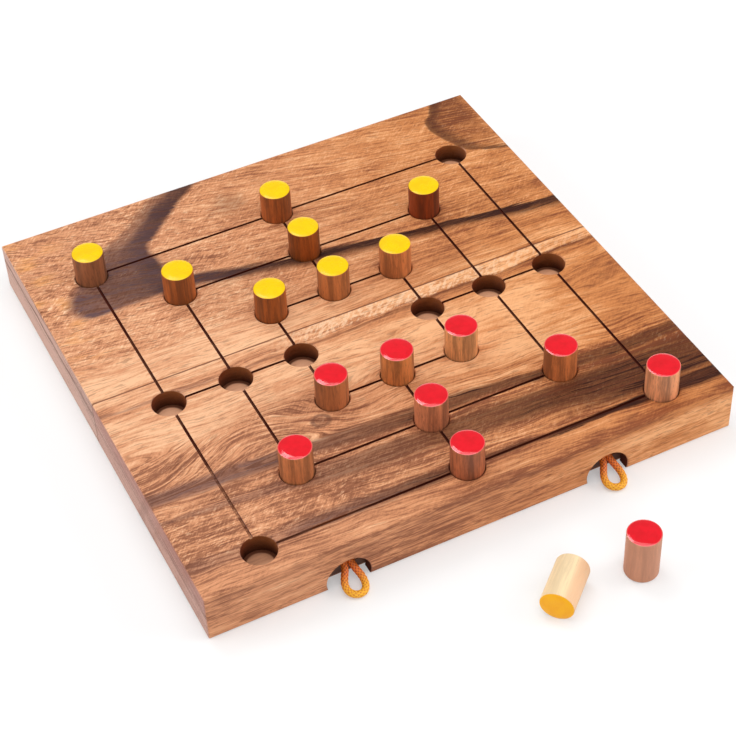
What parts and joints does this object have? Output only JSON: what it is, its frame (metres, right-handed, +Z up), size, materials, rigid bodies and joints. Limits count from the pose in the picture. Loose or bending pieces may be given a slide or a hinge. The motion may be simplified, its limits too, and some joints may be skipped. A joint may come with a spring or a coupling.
{
  "type": "nine mens morris board",
  "caption": "Square wooden mill board with a drilled and line-marked field, lift-out dowel men with painted ends, and lidded stores underneath with cord pulls.",
  "frame": {"origin": "centre of the board's underside, on the table that it lies on", "axes": "+Z up out of the playing face, +Y from the notched front edge to the back edge, +X to the right seen from the front"},
  "size_m": [0.1696, 0.2096, 0.0269],
  "materials": {
    "board_wood": "oiled",
    "lid_wood": "oiled",
    "dowel_wood": "plain",
    "red_enamel": "gloss",
    "yellow_enamel": "gloss",
    "orange_cord": "braided"
  },
  "bodies": {
    "board": {"front_plank": "board_wood", "back_plank": "board_wood"},
    "left_lid": {"left_lid": "lid_wood", "left_loop": "orange_cord", "left_loop_ends": "orange_cord"},
    "right_lid": {"right_lid": "lid_wood", "right_loop": "orange_cord", "right_loop_ends": "orange_cord"},
    "red_man_1": {"red_man_1": "dowel_wood", "red_man_1_enamel": "red_enamel"},
    "red_man_2": {"red_man_2": "dowel_wood", "red_man_2_enamel": "red_enamel"},
    "red_man_3": {"red_man_3": "dowel_wood", "red_man_3_enamel": "red_enamel"},
    "red_man_4": {"red_man_4": "dowel_wood", "red_man_4_enamel": "red_enamel"},
    "red_man_5": {"red_man_5": "dowel_wood", "red_man_5_enamel": "red_enamel"},
    "red_man_6": {"red_man_6": "dowel_wood", "red_man_6_enamel": "red_enamel"},
    "red_man_7": {"red_man_7": "dowel_wood", "red_man_7_enamel": "red_enamel"},
    "red_man_8": {"red_man_8": "dowel_wood", "red_man_8_enamel": "red_enamel"},
    "red_man_9": {"red_man_9": "dowel_wood", "red_man_9_enamel": "red_enamel"},
    "yellow_man_1": {"yellow_man_1": "dowel_wood", "yellow_man_1_enamel": "yellow_enamel"},
    "yellow_man_2": {"yellow_man_2": "dowel_wood", "yellow_man_2_enamel": "yellow_enamel"},
    "yellow_man_3": {"yellow_man_3": "dowel_wood", "yellow_man_3_enamel": "yellow_enamel"},
    "yellow_man_4": {"yellow_man_4": "dowel_wood", "yellow_man_4_enamel": "yellow_enamel"},
    "yellow_man_5": {"yellow_man_5": "dowel_wood", "yellow_man_5_enamel": "yellow_enamel"},
    "yellow_man_6": {"yellow_man_6": "dowel_wood", "yellow_man_6_enamel": "yellow_enamel"},
    "yellow_man_7": {"yellow_man_7": "dowel_wood", "yellow_man_7_enamel": "yellow_enamel"},
    "yellow_man_8": {"yellow_man_8": "dowel_wood", "yellow_man_8_enamel": "yellow_enamel"},
    "yellow_man_9": {"yellow_man_9": "dowel_wood", "yellow_man_9_enamel": "yellow_enamel"}
  },
  "joints": [
    {"name": "left_lid_hinge", "type": "hinge", "parent": "board", "child": "left_lid", "pos_m": [-0.042, 0.0804, 0.0024], "axis": [1, 0, 0], "range_deg": [0, 30]},
    {"name": "right_lid_hinge", "type": "hinge", "parent": "board", "child": "right_lid", "pos_m": [0.042, 0.0804, 0.0024], "axis": [1, 0, 0], "range_deg": [0, 30]},
    {"name": "red_man_1_lift", "type": "slide", "parent": "board", "child": "red_man_1", "axis": [0, 0, 1], "range_m": [0, 0.02]},
    {"name": "red_man_2_lift", "type": "slide", "parent": "board", "child": "red_man_2", "axis": [0, 0, 1], "range_m": [0, 0.02]},
    {"name": "red_man_3_lift", "type": "slide", "parent": "board", "child": "red_man_3", "axis": [0, 0, 1], "range_m": [0, 0.02]},
    {"name": "red_man_4_lift", "type": "slide", "parent": "board", "child": "red_man_4", "axis": [0, 0, 1], "range_m": [0, 0.02]},
    {"name": "red_man_5_lift", "type": "slide", "parent": "board", "child": "red_man_5", "axis": [0, 0, 1], "range_m": [0, 0.02]},
    {"name": "red_man_6_lift", "type": "slide", "parent": "board", "child": "red_man_6", "axis": [0, 0, 1], "range_m": [0, 0.02]},
    {"name": "red_man_7_lift", "type": "slide", "parent": "board", "child": "red_man_7", "axis": [0, 0, 1], "range_m": [0, 0.02]},
    {"name": "red_man_8_lift", "type": "slide", "parent": "board", "child": "red_man_8", "axis": [0, 0, 1], "range_m": [0, 0.02]},
    {"name": "red_man_9_lift", "type": "slide", "parent": "board", "child": "red_man_9", "axis": [0, 0, 1], "range_m": [0, 0.02]},
    {"name": "yellow_man_1_lift", "type": "slide", "parent": "board", "child": "yellow_man_1", "axis": [0, 0, 1], "range_m": [0, 0.02]},
    {"name": "yellow_man_2_lift", "type": "slide", "parent": "board", "child": "yellow_man_2", "axis": [0, 0, 1], "range_m": [0, 0.02]},
    {"name": "yellow_man_3_lift", "type": "slide", "parent": "board", "child": "yellow_man_3", "axis": [0, 0, 1], "range_m": [0, 0.02]},
    {"name": "yellow_man_4_lift", "type": "slide", "parent": "board", "child": "yellow_man_4", "axis": [0, 0, 1], "range_m": [0, 0.02]},
    {"name": "yellow_man_5_lift", "type": "slide", "parent": "board", "child": "yellow_man_5", "axis": [0, 0, 1], "range_m": [0, 0.02]},
    {"name": "yellow_man_6_lift", "type": "slide", "parent": "board", "child": "yellow_man_6", "axis": [0, 0, 1], "range_m": [0, 0.02]},
    {"name": "yellow_man_7_lift", "type": "slide", "parent": "board", "child": "yellow_man_7", "axis": [0, 0, 1], "range_m": [0, 0.02]},
    {"name": "yellow_man_8_lift", "type": "slide", "parent": "board", "child": "yellow_man_8", "axis": [0, 0, 1], "range_m": [0, 0.02]},
    {"name": "yellow_man_9_lift", "type": "slide", "parent": "board", "child": "yellow_man_9", "axis": [0, 0, 1], "range_m": [0, 0.02]}
  ]
}
